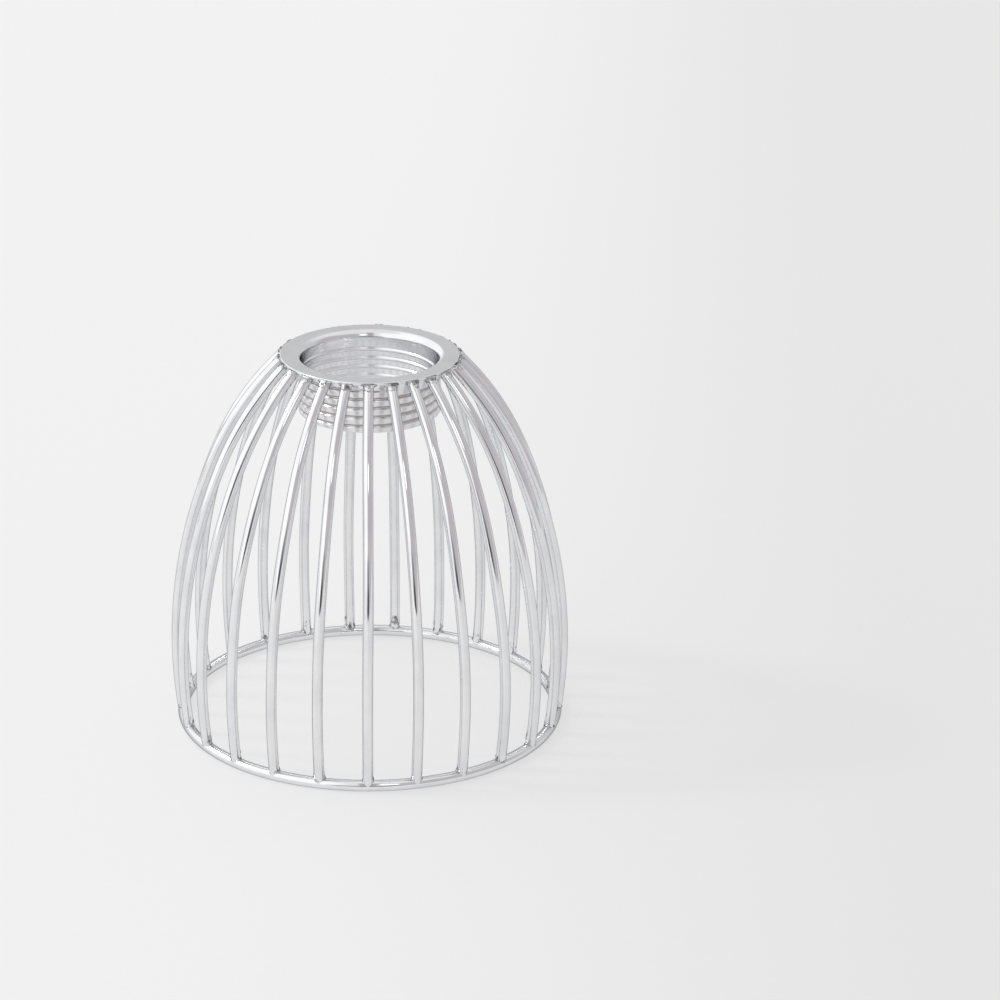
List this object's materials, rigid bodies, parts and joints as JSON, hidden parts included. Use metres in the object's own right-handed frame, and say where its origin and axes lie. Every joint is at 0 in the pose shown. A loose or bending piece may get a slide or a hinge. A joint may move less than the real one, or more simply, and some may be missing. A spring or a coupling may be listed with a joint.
{
  "type": "bulb cage guard",
  "caption": "Chrome wire guard for a lamp bulb: bent ribs curve from a round base hoop up to a flanged collar whose threaded skirt screws on to a lamp holder.",
  "frame": {"origin": "on the cage's axis, at the underside of the base hoop", "axes": "+Z along the cage's axis, from the hoop up to the collar; +X through the middle of a rib"},
  "size_m": [0.1158, 0.116, 0.1114],
  "materials": {
    "chrome_wire": "bright chrome plate on drawn steel wire",
    "chrome_sheet": "bright chrome plate on pressed steel sheet"
  },
  "bodies": {
    "root": {"threaded_collar": "chrome_sheet", "base_ring": "chrome_wire", "rib_01": "chrome_wire", "rib_02": "chrome_wire", "rib_03": "chrome_wire", "rib_04": "chrome_wire", "rib_05": "chrome_wire", "rib_06": "chrome_wire", "rib_07": "chrome_wire", "rib_08": "chrome_wire", "rib_09": "chrome_wire", "rib_10": "chrome_wire", "rib_11": "chrome_wire", "rib_12": "chrome_wire", "rib_13": "chrome_wire", "rib_14": "chrome_wire", "rib_15": "chrome_wire", "rib_16": "chrome_wire", "rib_17": "chrome_wire", "rib_18": "chrome_wire", "rib_19": "chrome_wire", "rib_20": "chrome_wire", "rib_21": "chrome_wire", "rib_22": "chrome_wire", "rib_23": "chrome_wire", "rib_24": "chrome_wire", "rib_25": "chrome_wire"}
  },
  "joints": []
}
